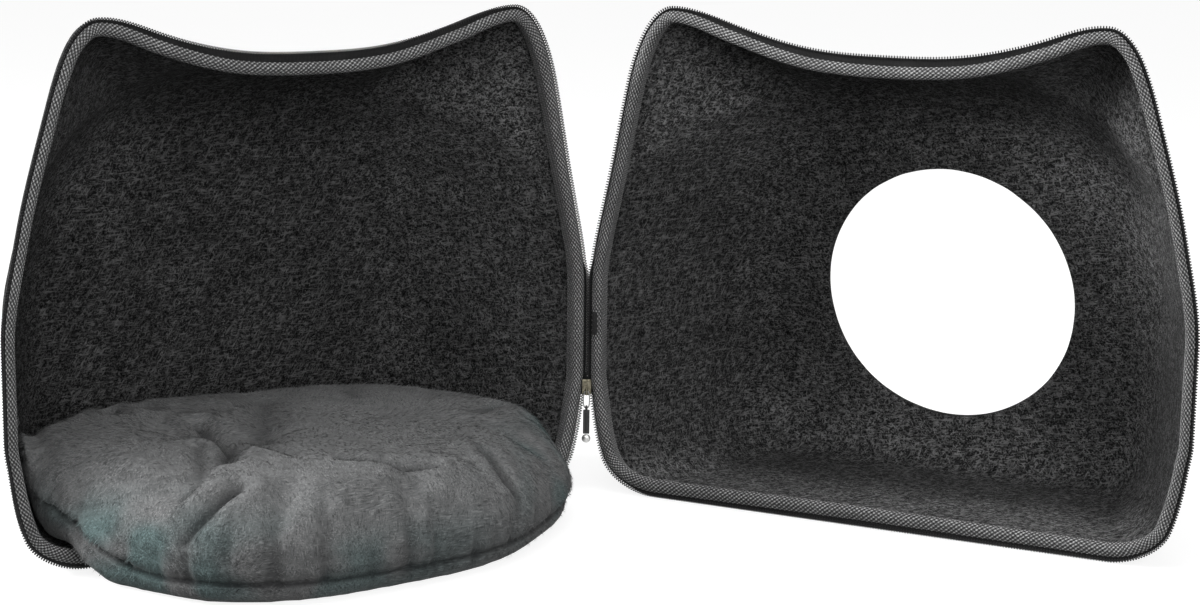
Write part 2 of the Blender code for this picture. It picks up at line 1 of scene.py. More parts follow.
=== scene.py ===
"""Dresses the felt cat cave: two moulded halves standing open, their zip and the cushion."""

import json
import math
import random

import bmesh
import bpy
import numpy as np
from mathutils import Matrix, Vector, noise

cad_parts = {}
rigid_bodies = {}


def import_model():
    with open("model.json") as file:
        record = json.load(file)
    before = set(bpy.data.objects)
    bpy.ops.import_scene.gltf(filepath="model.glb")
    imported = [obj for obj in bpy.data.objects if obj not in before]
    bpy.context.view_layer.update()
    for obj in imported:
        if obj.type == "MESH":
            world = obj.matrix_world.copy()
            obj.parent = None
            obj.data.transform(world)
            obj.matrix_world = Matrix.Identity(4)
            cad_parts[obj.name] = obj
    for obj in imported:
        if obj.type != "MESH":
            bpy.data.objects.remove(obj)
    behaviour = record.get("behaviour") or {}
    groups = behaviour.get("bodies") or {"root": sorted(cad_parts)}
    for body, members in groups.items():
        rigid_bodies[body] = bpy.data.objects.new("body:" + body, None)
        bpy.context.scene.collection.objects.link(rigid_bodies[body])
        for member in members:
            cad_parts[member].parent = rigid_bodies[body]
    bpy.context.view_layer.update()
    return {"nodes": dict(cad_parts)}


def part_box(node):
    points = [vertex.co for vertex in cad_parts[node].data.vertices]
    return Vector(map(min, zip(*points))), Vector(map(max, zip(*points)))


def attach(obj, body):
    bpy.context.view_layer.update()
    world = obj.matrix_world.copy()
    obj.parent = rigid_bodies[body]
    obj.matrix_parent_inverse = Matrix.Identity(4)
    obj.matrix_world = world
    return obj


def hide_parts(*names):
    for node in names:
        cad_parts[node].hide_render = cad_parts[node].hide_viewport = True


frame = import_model()

# ------------------------------
# Camera. It stands low in front of the open halves and looks a little down on them.
# The zip's spine is the upright line that both halves share, found from the pull that hangs on it.
PULL_BEFORE_SPINE = 0.0078
pull_low, pull_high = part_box("zip_pull_end")
SPINE = Vector((
    (pull_low[0] + pull_high[0]) / 2,
    (pull_low[1] + pull_high[1]) / 2 + PULL_BEFORE_SPINE,
    0.0,
))
CAMERA_PLACE = Vector((-0.0004, -1.6719, 0.4459))
CAMERA_YAW, CAMERA_DOWN, CAMERA_ROLL = -0.00527, 0.18586, 0.01386
CAMERA_LENS = 74.27

shown = bpy.context.scene.collection.objects
camera_data = bpy.data.cameras.new("camera")
camera_data.sensor_width = 36.0
camera_data.lens = CAMERA_LENS
camera_data.clip_end = 40.0
camera = bpy.data.objects.new("camera", camera_data)
camera.matrix_world = (
    Matrix.Translation(SPINE + CAMERA_PLACE)
    @ Matrix.Rotation(CAMERA_YAW, 4, "Z")
    @ Matrix.Rotation(math.pi / 2 - CAMERA_DOWN, 4, "X")
    @ Matrix.Rotation(CAMERA_ROLL, 4, "Z")
)
shown.link(camera)
bpy.context.scene.camera = camera
bpy.context.scene.view_settings.view_transform = "Standard"

# ------------------------------
# Floor. One plain pale studio surface that reaches past the frame on every side.
FLOOR_SIZE = 14.0
FLOOR_COLOURS = ((0.295, 0.295, 0.295, 1), (0.30, 0.30, 0.30, 1))


def start_finish(name, roughness, specular=0.5, sheen=0.0, sheen_roughness=0.5):
    """Starts a material; what is the same all over is set on the shader itself."""
    material = bpy.data.materials.new(name)
    material.use_nodes = True
    shader = material.node_tree.nodes["Principled BSDF"]
    shader.inputs["Roughness"].default_value = roughness
    shader.inputs["Specular IOR Level"].default_value = specular
    shader.inputs["Sheen Weight"].default_value = sheen
    shader.inputs["Sheen Roughness"].default_value = sheen_roughness
    return material, shader


def put(material, kind, values=None, **settings):
    """Adds a node; values gives numbers, colours or other nodes' outputs to its inputs."""
    made = material.node_tree.nodes.new(kind)
    for name, value in settings.items():
        setattr(made, name, value)
    for name, value in (values or {}).items():
        if isinstance(value, bpy.types.NodeSocket):
            material.node_tree.links.new(value, made.inputs[name])
        else:
            made.inputs[name].default_value = value
    return made


def object_place(material):
    """Gives the place on the piece, in metres."""
    return put(material, "ShaderNodeTexCoord").outputs["Object"]


def noted(material, name):
    """Gives what a piece's mesh notes under a name."""
    return put(material, "ShaderNodeAttribute", attribute_name=name).outputs["Fac"]


def wire(material, output, shader, socket):
    """Joins a node's output to one of the shader's inputs."""
    material.node_tree.links.new(output, shader.inputs[socket])


def noise_of(material, where, scale, detail=2.0, rough=0.5, size=(1, 1, 1), turn=(0, 0, 0)):
    """Gives a noise's value on coordinates that are first turned and then stretched."""
    turned = put(material, "ShaderNodeVectorRotate", {"Vector": where, "Rotation": turn},
                 rotation_type="EULER_XYZ")
    spread = put(material, "ShaderNodeVectorMath", {0: turned.outputs[0], 1: size},
                 operation="MULTIPLY")
    pattern = put(material, "ShaderNodeTexNoise", {
        "Vector": spread.outputs[0], "Scale": scale, "Detail": detail, "Roughness": rough,
    })
    return pattern.outputs["Fac"]


def span(material, value, low, high, out_low=0.0, out_high=1.0):
    """Maps a value's range low to high onto another range, and holds its ends."""
    return put(material, "ShaderNodeMapRange", {
        "Value": value, "From Min": low, "From Max": high, "To Min": out_low, "To Max": out_high,
    }).outputs["Result"]


def blend_colour(material, share, first, second, way="MIX"):
    """Blends two colours by a share."""
    return put(material, "ShaderNodeMix", {0: share, 6: first, 7: second},
               data_type="RGBA", blend_type=way).outputs[2]


def reckon(material, way, first, second):
    """Does one sum on two values."""
    return put(material, "ShaderNodeMath", {0: first, 1: second}, operation=way).outputs[0]


def raise_bump(material, shader, height, strength, distance):
    """Gives the shader relief from a height."""
    bump = put(material, "ShaderNodeBump",
               {"Height": height, "Strength": strength, "Distance": distance})
    wire(material, bump.outputs[0], shader, "Normal")


floor_finish, floor_shader = start_finish("studio floor", 0.9, 0.1)
floor_where = object_place(floor_finish)
floor_grain = span(floor_finish, noise_of(floor_finish, floor_where, 3.0), 0.3, 0.7)
wire(floor_finish, blend_colour(floor_finish, floor_grain, *FLOOR_COLOURS), floor_shader,
     "Base Color")
floor_shader.inputs["Emission Color"].default_value = (1, 1, 1, 1)
floor_shader.inputs["Emission Strength"].default_value = 0.85

floor_bm = bmesh.new()
bmesh.ops.create_grid(floor_bm, x_segments=8, y_segments=8, size=FLOOR_SIZE)
bmesh.ops.translate(floor_bm, vec=(0.0, 3.0, -0.0004), verts=floor_bm.verts)
floor_mesh = bpy.data.meshes.new("studio_floor")
floor_bm.to_mesh(floor_mesh)
floor_bm.free()
floor_mesh.materials.append(floor_finish)
floor = bpy.data.objects.new("studio_floor", floor_mesh)
floor.visible_diffuse = False
shown.link(floor)

# ------------------------------
# Light. A soft key from the upper left, a softbox overhead, a weak fill in front, and a surround
# that is bright above and dims towards the floor.
LAMPS = (
    # name, place, aimed at, size, power
    ("left softbox", (-2.15, -0.32, 1.35), (0.10, 0.05, 0.14), 1.0, 62.0),
    ("top softbox", (0.10, -0.45, 2.30), (0.05, 0.05, 0.05), 1.2, 17.0),
    ("front softbox", (0.50, -2.70, 1.05), (0.05, 0.05, 0.15), 1.6, 43.0),
)
SURROUND_LOW = 0.05
SURROUND_HIGH = 0.34

surround = bpy.data.worlds.new("studio surround")
surround.use_nodes = True
sky_way = put(surround, "ShaderNodeTexCoord").outputs["Generated"]
sky_rise = put(surround, "ShaderNodeSeparateXYZ", {0: sky_way}).outputs["Z"]
sky = surround.node_tree.nodes["Background"]
wire(surround, span(surround, sky_rise, -0.25, 0.60, SURROUND_LOW, SURROUND_HIGH), sky, "Strength")
sky.inputs["Color"].default_value = (1.0, 1.0, 1.0, 1.0)
bpy.context.scene.world = surround
for lamp_name, lamp_place, lamp_aim, lamp_size, lamp_power in LAMPS:
    lamp_data = bpy.data.lights.new(lamp_name, "AREA")
    lamp_data.energy = lamp_power
    lamp_data.size = lamp_size
    lamp = bpy.data.objects.new(lamp_name, lamp_data)
    lamp.location = lamp_place
    lamp_way = Vector(lamp_aim) - Vector(lamp_place)
    lamp.rotation_euler = lamp_way.to_track_quat("-Z", "Y").to_euler()
    shown.link(lamp)

# ------------------------------
# Felt halves. Each is one blank of 4.5 mm charcoal needle felt, pressed hot over a mould into a
# box with two cat ears and a rounded face. The front half has the round entrance cut in it.
HALF_WIDTH = 0.210
SPINE_GAP = 0.00015
BACK_HALF = (Matrix.Translation(SPINE) @ Matrix.Rotation(math.radians(34.2), 4, "Z")
             @ Matrix.Translation((-HALF_WIDTH - SPINE_GAP, 0.0, 0.0)))
FRONT_HALF = (Matrix.Translation(SPINE) @ Matrix.Rotation(math.radians(-26.8), 4, "Z")
              @ Matrix.Translation((HALF_WIDTH + SPINE_GAP, 0.0, 0.0)))
# each half's stance, by the side that its spine is on
HALVES = {1: BACK_HALF, -1: FRONT_HALF}
FELT = 0.0045
FELT_EDGE = 0.0026
BAND_STRAIGHT = 0.0055
SEAM_BAND = 0.0145
TAPER = 1.85
TAPER_TOP = 2.60
TAPER_RISE = (0.120, 0.290)
TOP_FALL = 0.080
TOP_RISE = (0.215, 0.300)
EAR_LEAN = (0.0040, 0.0026)
LEAN_RISE = (0.215, 0.310)
LEAN_REACH = (0.080, 0.150)
SHUT_RISE = (0.066, 0.073)
SHUT_END = (0.150, 0.163)
EAR_SLOPE = 0.60
EAR_ROUNDING = 0.0050
DOME_FOOT = 0.115
DOME_POWER = 2.5
FACE_CENTRE = 0.1345
FACE_DEPTH = 0.148
FACE_LEAN = 0.162
FACE_BULGE = 0.004
FACE_BULGE_REACH = 0.150
HOLE_RADIUS = 0.0905
# Half of the rim from the middle of the floor edge to the saddle between the ears: across, up,
# heading, steps, shoulder's reach up the wall and over the face, inset of felt and binding,
# binding's width on the spine's side and on the far side, lean of the felt's far side.
RIM = (
    (0.0, 0.0, 0, 5, 0.026, 0.022, 0.0, 0.0045, 0.0096, 0.0096, 0.0),
    (0.158, 0.0, 0, 5, 0.03, 0.024, 0.0, 0.0038, 0.0094, 0.0094, 0.0),
    (0.199, 0.024, 70, 3, 0.036, 0.026, 0.003, 0.0032, 0.0084, 0.0076, 0.0014),
    (0.2078, 0.065, 82, 2, 0.042, 0.028, 0.0032, 0.0032, 0.0074, 0.0066, 0.0026),
    (0.21, 0.082, 90, 2, 0.044, 0.03, 0.0032, 0.0032, 0.0072, 0.0064, 0.0028),
    (0.21, 0.142, 90, 3, 0.05, 0.032, 0.0032, 0.0032, 0.0072, 0.0062, 0.0028),
    (0.2, 0.204, 102, 3, 0.062, 0.04, 0.0032, 0.0032, 0.0072, 0.0062, 0.0028),
    (0.18, 0.285, 105, 2, 0.076, 0.05, 0.0032, 0.0032, 0.0076, 0.0068, 0.0028),
    (0.17, 0.314, 114, 4, 0.082, 0.054, 0.0032, 0.0032, 0.008, 0.0072, 0.0024),
    (0.146, 0.337, 178, 3, 0.088, 0.058, 0.0034, 0.0034, 0.0082, 0.0082, 0.001),
    (0.102, 0.3265, 198, 3, 0.098, 0.064, 0.004, 0.005, 0.0084, 0.0084, 0.0),
    (0.048, 0.314, 187, 2, 0.106, 0.07, 0.0045, 0.0066, 0.0084, 0.0084, 0.0),
    (0.0, 0.312, 180, 0, 0.108, 0.072, 0.0045, 0.007, 0.0084, 0.0084, 0.0),
)
RIM_FINENESS = 14


def heading_vector(degrees):
    """Gives the unit direction of a heading in the rim plane."""
    return Vector((math.cos(math.radians(degrees)), math.sin(math.radians(degrees))))


def eased(values, low, high):
    """Eases from 0 at low to 1 at high, for one number or many."""
    share = np.clip((values - low) / (high - low), 0.0, 1.0)
    return share * share * (3 - 2 * share)


def drawn_rim(spine_side):
    """Draws a whole rim as close points with their columns; the spine is on the right where 1."""
    drawn = []
    for here, there in zip(RIM, RIM[1:]):
        start = Vector(here[:2])
        end = Vector(there[:2])
        pull = (end - start).length / 3.0
        leave = start + heading_vector(here[2]) * pull
        arrive = end - heading_vector(there[2]) * pull
        steps = here[3] * RIM_FINENESS
        for step in range(steps):
            t = step / steps
            u = 1 - t
            point = u**3 * start + 3 * t * u * u * leave + 3 * t * t * u * arrive + t**3 * end
            ease = eased(t, 0, 1)
            drawn.append((point, [a + (b - a) * ease for a, b in zip(here[4:], there[4:])]))
    drawn.append((Vector(RIM[-1][:2]), list(RIM[-1][4:])))
    rim = []
    for side, stations in ((1, drawn), (-1, drawn[-2:0:-1])):
        for point, (deep, wide, felt_in, bound_in, near, far, lean) in stations:
            reach = eased(point.y, *LEAN_RISE) * eased(point.x, *LEAN_REACH)
            shift = EAR_LEAN[0] if side == spine_side else -EAR_LEAN[1]
            placed = Vector((side * (point.x + shift * reach), point.y))
            shut = eased(point.y, *SHUT_RISE) * (1 - eased(point.y, *SHUT_END))
            if side == spine_side:
                shut *= eased(point.x, *LEAN_REACH)
                rim.append((placed, [deep, wide, felt_in, bound_in, near, 0.0, shut]))
            else:
                rim.append((placed, [deep, wide, felt_in, bound_in, far, lean, 0.0]))
    return rim


def even_rim(spine_side, count):
    """Gives evenly spaced stations of the rim: point, inward direction, columns; and its length."""
    drawn = drawn_rim(spine_side)
    reach = [0.0]
    for (here, _), (there, _) in zip(drawn, drawn[1:] + drawn[:1]):
        reach.append(reach[-1] + (there - here).length)
    whole = reach[-1]
    points = []
    index = 0
    for number in range(count):
        goal = whole * number / count
        while reach[index + 1] < goal:
            index += 1
        share = (goal - reach[index]) / (reach[index + 1] - reach[index])
        here = drawn[index]
        there = drawn[(index + 1) % len(drawn)]
        columns = [a + (b - a) * share for a, b in zip(here[1], there[1])]
        points.append((here[0].lerp(there[0], share), columns))
    stations = []
    for number, (point, columns) in enumerate(points):
        along = points[(number + 1) % count][0] - points[number - 1][0]
        stations.append((point, Vector((-along.y, along.x)).normalized(), columns))
    return stations, whole


def dome_radius(direction):
    """Gives the radius of the dome without ears, from the face's centre."""
    tall = RIM[-1][1] - DOME_FOOT
    low, high = 0.0, 2 * HALF_WIDTH
    for _ in range(30):
        radius = (low + high) / 2
        across = abs(direction.x) * radius / HALF_WIDTH
        up = max(FACE_CENTRE + direction.y * radius - DOME_FOOT, 0.0) / tall
        if across**DOME_POWER + up**DOME_POWER < 1.0:
            low = radius
        else:
            high = radius
    return low


def face_depth(height, radius):
    """Gives the depth of the moulded face, which leans back to its foot and bulges."""
    bulge = FACE_BULGE * max(0.0, 1.0 - (radius / FACE_BULGE_REACH) ** 2)
    return FACE_DEPTH - FACE_LEAN * (height - FACE_CENTRE) + bulge


def ear_left(ear, run):
    """Gives what is left of an ear's height above the dome, run metres behind the seam."""
    if ear < 1e-5:
        return 0.0
    soft = min(EAR_ROUNDING, ear * 0.4)
    fallen = ear - EAR_SLOPE * run
    rounded = (fallen + math.hypot(fallen, soft)) / 2
    return rounded * ear * 2 / (ear + math.hypot(ear, soft))


BAND_ROWS, WALL_ROWS, SHOULDER_ROWS, FACE_ROWS, DISC_ROWS = 5, 18, 16, 12, 18


def felt_line(start, leaned, deep, wide, closed):
    """Follows the felt's outside from the rim back over wall and shoulder to the face."""
    middle = Vector((0.0, FACE_CENTRE))
    spoke = (leaned - middle).normalized()
    reach = (leaned - middle).length
    body = reach
    if leaned.y > DOME_FOOT:
        body = min(reach, dome_radius(spoke))
    ear = reach - body
    foot = middle + spoke * body
    taper = TAPER + (TAPER_TOP - TAPER) * eased(foot.y, *TAPER_RISE)
    fall = TOP_FALL * eased(foot.y, *TOP_RISE)

    def wall(depth):
        run = depth - SEAM_BAND
        return Vector((foot.x * (1.0 - taper * run), foot.y - fall * run))

    back = face_depth(foot.y, FACE_BULGE_REACH)
    for _ in range(5):
        corner = wall(back)
        inward = (corner - middle).normalized()
        edge = (corner - middle).length - wide
        back = face_depth(FACE_CENTRE + inward.y * edge, edge)
    bend = back - deep
    line = [(start, FELT_EDGE)]
    for row in range(BAND_ROWS):
        share = row / (BAND_ROWS - 1)
        depth = BAND_STRAIGHT + (SEAM_BAND - BAND_STRAIGHT) * share
        line.append((start.lerp(leaned, share), depth))
    for row in range(1, WALL_ROWS + 1):
        depth = SEAM_BAND + (bend - SEAM_BAND) * row / WALL_ROWS
        line.append((wall(depth) + spoke * ear_left(ear, depth - SEAM_BAND), depth))
    for row in range(1, SHOULDER_ROWS + 1):
        t = row / SHOULDER_ROWS
        share = ((1 - t) ** 2, 2 * t * (1 - t), t * t)
        flat = share[0] * wall(bend) + share[1] * corner + share[2] * (middle + inward * edge)
        depth = share[0] * bend + (share[1] + share[2]) * back
        line.append((flat + spoke * ear_left(ear, depth - SEAM_BAND), depth))
    rings = [edge + (HOLE_RADIUS - edge) * row / FACE_ROWS for row in range(1, FACE_ROWS + 1)]
    if closed:
        rings += [HOLE_RADIUS * (1 - row / DISC_ROWS) for row in range(1, DISC_ROWS + 1)]
    for radius in rings:
        height = FACE_CENTRE + inward.y * radius
        line.append((middle + inward * radius, face_depth(height, radius)))
    return line


def wrapped_grid(around, rows, place):
    """Wraps a flat grid round the rim: place(column, row) gives each corner; UVs are metres."""
    bm = bmesh.new()
    bmesh.ops.create_grid(bm, x_segments=around, y_segments=rows, size=0.5)
    uv = bm.loops.layers.uv.new("metres")
    spots = {}
    for corner in bm.verts:
        spots[corner] = (round((corner.co.x + 0.5) * around), round((corner.co.y + 0.5) * rows))
    for face in bm.faces:
        for loop in face.loops:
            loop[uv].uv = spots[loop.vert]
    for corner, (column, row) in spots.items():
        corner.co = place(column % around, row)
    bmesh.ops.remove_doubles(bm, verts=bm.verts, dist=1e-6)
    bmesh.ops.recalc_face_normals(bm, faces=bm.faces)
    return bm


def finished_piece(name, bm, spine_side, finish, node, sharp=math.radians(50)):
    """Sets a bmesh in its half, as a piece that stands for a CAD node and rides with the cave."""
    bm.transform(HALVES[spine_side])
    mesh = bpy.data.meshes.new(name)
    bm.to_mesh(mesh)
    bm.free()
    mesh.shade_smooth()
    mesh.set_sharp_from_angle(angle=sharp)
    mesh.materials.append(finish)
    piece = bpy.data.objects.new(name, mesh)
    shown.link(piece)
    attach(piece, "root")
    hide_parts(node)
    return piece


# Fibre directions: the felt's light fibres lie every way but mostly level, laid in six turns.
FIBRE_TURNS = (
    (0.0, 0.0, -0.60), (0.13, 0.07, 0.52), (0.56, 0.49, -0.50),
    (0.39, 1.11, 0.15), (0.52, -0.07, 0.70), (1.05, 1.92, 0.25),
)


def felt_finish(name, brushed):
    """Charcoal needle felt: clumped dark fibre with short light fibres; when brushed is set,
    painted light brightens its inside.
    """
    felt, shader = start_finish(name, 0.97, 0.06, 0.03)
    where = object_place(felt)
    fibres = None
    for turn in FIBRE_TURNS:
        streak = noise_of(felt, where, 1.0, 1.5, 0.5, size=(120, 760, 760), turn=turn)
        lit = span(felt, streak, 0.57, 0.68)
        fibres = lit if fibres is None else reckon(felt, "MAXIMUM", fibres, lit)
    patches = noise_of(felt, where, 42.0, 3.0, 0.6)
    clumps = noise_of(felt, where, 235.0, 3.0, 0.62)
    grit = noise_of(felt, where, 520.0, 2.0, 0.6)
    depth = reckon(felt, "ADD", span(felt, clumps, 0.34, 0.68, 0.0, 0.56),
                   span(felt, grit, 0.36, 0.66, 0.0, 0.44))
    ground = blend_colour(felt, depth, (0.0014, 0.0014, 0.0015, 1), (0.0310, 0.0310, 0.0314, 1))
    worn = reckon(felt, "MULTIPLY", fibres, span(felt, clumps, 0.34, 0.62, 0.25, 0.85))
    coloured = blend_colour(felt, worn, ground, (0.190, 0.190, 0.191, 1))
    shaded = blend_colour(felt, span(felt, patches, 0.34, 0.66, 0.74, 1.0),
                          (0.0, 0.0, 0.0, 1), coloured)
    # painted light: the inner felt is brightened up to 3.2 times by its mask, standing in for light
    # on the shoulders and the floor by the opening
    if brushed:
        shaded = blend_colour(felt, noted(felt, "painted_light"), shaded, (3.2, 3.2, 3.2, 1),
                              "MULTIPLY")
    wire(felt, shaded, shader, "Base Color")
    relief = reckon(felt, "ADD", fibres, reckon(felt, "MULTIPLY", depth, 1.4))
    raise_bump(felt, shader, relief, 0.7, 0.0008)
    return felt


felt_colour = felt_finish("charcoal needle felt", False)
# the inner felt's material carries the painted light
inner_felt_colour = felt_finish("inner felt with painted light", True)
FELT_AROUND = 336
# painted light in each half, spots where the inner felt is brightened as if lit: across, up, half
# width, half height, share
PAINTED_LIGHT_SPOTS = {
    "back_shell": ((0.16, 0.265, 0.05, 0.05, 0.37), (0.183, 0.19, 0.03, 0.08, 0.2),
                   (-0.12, 0.25, 0.04, 0.05, 0.37)),
    "front_shell": ((-0.15, 0.27, 0.05, 0.05, 0.56), (0.118, 0.25, 0.05, 0.05, 1.2),
                    (0.16, 0.185, 0.04, 0.05, 0.55), (-0.01, 0.03, 0.13, 0.03, 0.44),
                    (-0.185, 0.17, 0.03, 0.09, 0.1), (-0.01, 0.262, 0.08, 0.03, 0.17)),
}
# painted light on the floor strip by the opening
FLOOR_PAINTED_LIGHT = 0.55


def painted_light_share(node, spot):
    """Gives the share of painted light on the inner felt: most on the shoulders and the floor by
    the opening.
    """
    share = FLOOR_PAINTED_LIGHT * math.exp(-(spot.z / 0.012) ** 2) * (1 - eased(spot.y, 0.060, 0.110))
    for across, up, wide, tall, most in PAINTED_LIGHT_SPOTS[node]:
        share += most * math.exp(-((spot.x - across) / wide) ** 2 - ((spot.z - up) / tall) ** 2)
    return min(share, 1.0) * eased(spot.y, 0.004, 0.030)


def felt_half(name, spine_side, closed, node):
    """Moulds one half: the wrapped blank gets the felt's own unevenness, then its thickness."""
    lines = []
    for point, inward, columns in even_rim(spine_side, FELT_AROUND)[0]:
        start = point + inward * columns[2]
        lines.append(felt_line(start, start + inward * columns[5], columns[0], columns[1], closed))
    rows = len(lines[0]) - 1

    def place(column, row):
        flat, depth = lines[column][row]
        return Vector((flat.x, depth, flat.y))

    bm = wrapped_grid(FELT_AROUND, rows, place)
    bm.faces.ensure_lookup_table()
    heart = Vector((0.0, 0.02, FACE_CENTRE))
    side = max(bm.faces, key=lambda face: face.calc_center_median().z)
    if side.normal.dot(side.calc_center_median() - heart) < 0.0:
        bmesh.ops.reverse_faces(bm, faces=bm.faces)
    bm.normal_update()
    moves = []
    for corner in bm.verts:
        far = min(max((corner.co.y - SEAM_BAND) / 0.06, 0.0), 1.0)
        lump = (noise.noise(corner.co * 24.0) - 0.7) * 0.0008
        lump += noise.noise(corner.co * 85.0) * 0.0003
        sunk = min(max(corner.co.z / 0.012, 0.0), 1.0)
        moves.append((corner, corner.normal * lump * far * sunk))
    for corner, move in moves:
        corner.co += move
    # painted light: each corner's share of brightening, read by the inner felt's material
    painted_light_layer = bm.verts.layers.float.new("painted_light")
    for corner in bm.verts:
        corner[painted_light_layer] = painted_light_share(node, corner.co)
    half = finished_piece(name, bm, spine_side, felt_colour, node)
    half.data.materials.append(inner_felt_colour)
    wall = half.modifiers.new("felt thickness", "SOLIDIFY")
    wall.thickness = FELT
    wall.offset = -1.0
    wall.use_even_offset = True
    wall.material_offset = 1
    return half


back_felt = felt_half("back_felt_half", 1, True, "back_shell")
front_felt = felt_half("front_felt_half", -1, False, "front_shell")

# ------------------------------
# Binding tape. Grey bird's-eye woven tape, 25 mm wide, folded lengthwise over the felt's edge and
# sewn through: a ridged band faces the other half, and a leg lies inside the felt.
FIT = 0.0003
LEG_LEAN = 0.94
EYES_ROUND = 400
EYE_STEPS = 4
EYE_RAISED = 0.00026


def resampled(corners, counts):
    """Splits each side of an outline into its count of steps, and rounds the corners a little."""
    fine = []
    for (here, there), count in zip(zip(corners, corners[1:] + corners[:1]), counts):
        for step in range(count):
            fine.append(Vector(here).lerp(Vector(there), step / count))
    for _ in range(2):
        around = zip(fine[-1:] + fine[:-1], fine, fine[1:] + fine[:1])
        fine = [(a + 2 * b + c) / 4 for a, b, c in around]
    return fine


def binding_outline(columns):
    """Outlines the folded tape: outer edge, ridged front band, hem and the leg inside the felt."""
    outer, wide = columns[3:5]
    inner = columns[2] + FELT + FIT
    foot = inner + columns[5] * LEG_LEAN
    corners = [
        (outer, 0.0012), (outer, -0.0003), (outer + wide * 0.20, -0.0012),
        (outer + wide * 0.52, -0.0022), (outer + wide * 0.86, -0.0012), (outer + wide, 0.0012),
        (foot + 0.0010, 0.0120), (foot, 0.0120), (inner, 0.0012),
    ]
    return resampled(corners, (2, 3, 4, 5, 4, 18, 2, 4, 2))


def eye(column, row):
    """Gives the bird's-eye weave, from -1 in a pit to 1 on a float, offset from row to row."""
    return math.cos(2 * math.pi * column / EYE_STEPS) * math.cos(math.pi * row / 2)


def swept_rim(spine_side, count, outline, raised=0.0):
    """Sweeps an outline round the rim with its weave raised, and notes metres and knots."""
    stations, length = even_rim(spine_side, count)
    outlines = [outline(columns) for _, _, columns in stations]
    rows = len(outlines[0])
    reach = [0.0]
    for here, there in zip(outlines[0], outlines[0][1:]):
        reach.append(reach[-1] + (there - here).length)

    def place(column, row):
        row %= rows
        point, inward, _ = stations[column]
        section = outlines[column]
        spot = section[row]
        if raised:
            along = section[(row + 1) % rows] - section[row - 1]
            height = raised * eye(column, row)
            spot = spot + Vector((along.y, -along.x)).normalized() * height
        flat = point + inward * spot.x
        return Vector((flat.x, spot.y, flat.y))

    bm = wrapped_grid(count, rows, place)
    uv = bm.loops.layers.uv["metres"]
    knot = bm.verts.layers.float.new("knot")
    for face in bm.faces:
        for loop in face.loops:
            column, row = loop[uv].uv
            loop.vert[knot] = eye(column, row)
            loop[uv].uv = (column * length / count, reach[round(row) % rows])
    return bm


def woven_binding(name, spine_side, node):
    """Makes one half's binding with its weave standing in the mesh and noted for its colour."""
    bm = swept_rim(spine_side, EYES_ROUND * EYE_STEPS, binding_outline, EYE_RAISED)
    return finished_piece(name, bm, spine_side, binding_colour, node)


def binding_finish():
    """Bird's-eye tape: pale yarn knots in offset rows, dark pits between, and worn patches."""
    tape, shader = start_finish("grey woven binding", 0.85, 0.15, 0.06, 0.45)
    where = put(tape, "ShaderNodeUVMap", uv_map="metres").outputs[0]
    yarn = noise_of(tape, where, 1.0, 2.0, 0.5, size=(700, 900, 1))
    worn = noise_of(tape, where, 1.0, 3.0, 0.6, size=(40, 120, 1))
    jitter = reckon(tape, "ADD", span(tape, noted(tape, "knot"), -0.75, 0.75),
                    span(tape, yarn, 0.3, 0.7, -0.22, 0.22))
    pits = blend_colour(tape, span(tape, jitter, 0.05, 0.42),
                        (0.008, 0.008, 0.0082, 1), (0.110, 0.110, 0.111, 1))
    floats = blend_colour(tape, span(tape, jitter, 0.56, 0.95), pits, (0.620, 0.620, 0.624, 1))
    shade = span(tape, worn, 0.3, 0.7, 0.72, 1.0)
    wire(tape, blend_colour(tape, shade, (0.0, 0.0, 0.0, 1), floats), shader, "Base Color")
    raise_bump(tape, shader, jitter, 0.6, 0.0004)
    return tape


binding_colour = binding_finish()
back_bound = woven_binding("back_binding_tape", 1, "back_binding")
front_bound = woven_binding("front_binding_tape", -1, "front_binding")

# ------------------------------
# Zip tape. Black ribbed polyester tape of a coil zip, sewn in between binding and felt; its edge
# carries the coil, and it shows as a dark line round each rim.
TAPE_COLUMNS = 560
TAPE_EDGE = 0.0012
TAPE_SHUT = 0.0022
TAPE_FRONT, TAPE_BACK = 0.0015, 0.0023


def tape_outline(columns):
    """Outlines the flat zip tape from under the coil in to the seam."""
    inner = columns[2] + FELT * 0.9
    outer = TAPE_EDGE - TAPE_SHUT * columns[6]
    corners = [(outer, TAPE_BACK), (outer, TAPE_FRONT), (inner, TAPE_FRONT), (inner, TAPE_BACK)]
    return resampled(corners, (1, 9, 1, 4))


def tape_finish():
    """Black polyester: fine ribs across the tape and a faint dusty wear."""
    tape, shader = start_finish("black zip tape", 0.78, 0.25, 0.10)
    where = put(tape, "ShaderNodeUVMap", uv_map="metres").outputs[0]
    ribs = put(tape, "ShaderNodeTexWave", {"Vector": where, "Scale": 330.0, "Distortion": 0.6},
               wave_type="BANDS", bands_direction="X").outputs["Fac"]
    dust = noise_of(tape, where, 1.0, 3.0, 0.6, size=(60, 500, 1))
    shade = blend_colour(tape, span(tape, ribs, 0.2, 0.9),
                         (0.004, 0.004, 0.0042, 1), (0.016, 0.016, 0.0165, 1))
    wire(tape, blend_colour(tape, span(tape, dust, 0.45, 0.8, 0.0, 0.5), shade,
                            (0.035, 0.035, 0.036, 1)), shader, "Base Color")
    raise_bump(tape, shader, ribs, 0.5, 0.0003)
    return tape


tape_colour = tape_finish()


def zip_tape(name, spine_side, node):
    """Makes one half's zip tape."""
    bm = swept_rim(spine_side, TAPE_COLUMNS, tape_outline)
    return finished_piece(name, bm, spine_side, tape_colour, node)


back_tape = zip_tape("back_zip_tape_strip", 1, "back_zip_tape")
front_tape = zip_tape("front_zip_tape_strip", -1, "front_zip_tape")

